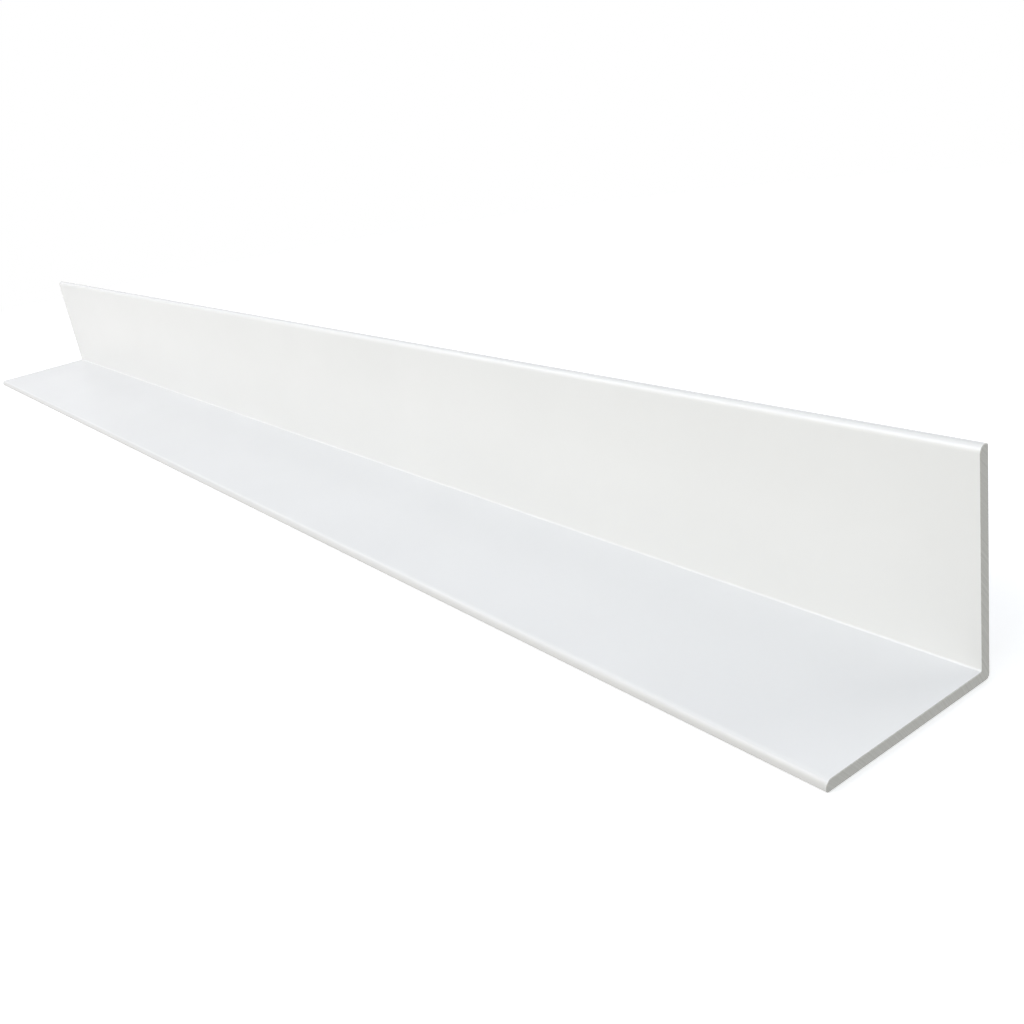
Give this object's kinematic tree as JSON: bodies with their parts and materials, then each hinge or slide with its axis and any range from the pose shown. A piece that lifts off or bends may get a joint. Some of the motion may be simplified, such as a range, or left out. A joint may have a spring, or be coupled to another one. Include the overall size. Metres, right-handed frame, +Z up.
{
  "type": "metal angle section",
  "caption": "Straight equal-leg angle bar with rounded toes and heel, white coated, for framing, edging and bracket stock.",
  "frame": {"origin": "on the floor, under the middle of the bounding box: half way along the bar, half way across the base leg", "axes": "+X along the bar; +Y out of the back of the upright leg, away from the base leg's toe; +Z up, along the upright leg"},
  "size_m": [1.2, 0.1, 0.1],
  "materials": {
    "white_coat": "satin"
  },
  "bodies": {
    "root": {"angle_section": "white_coat"}
  },
  "joints": []
}
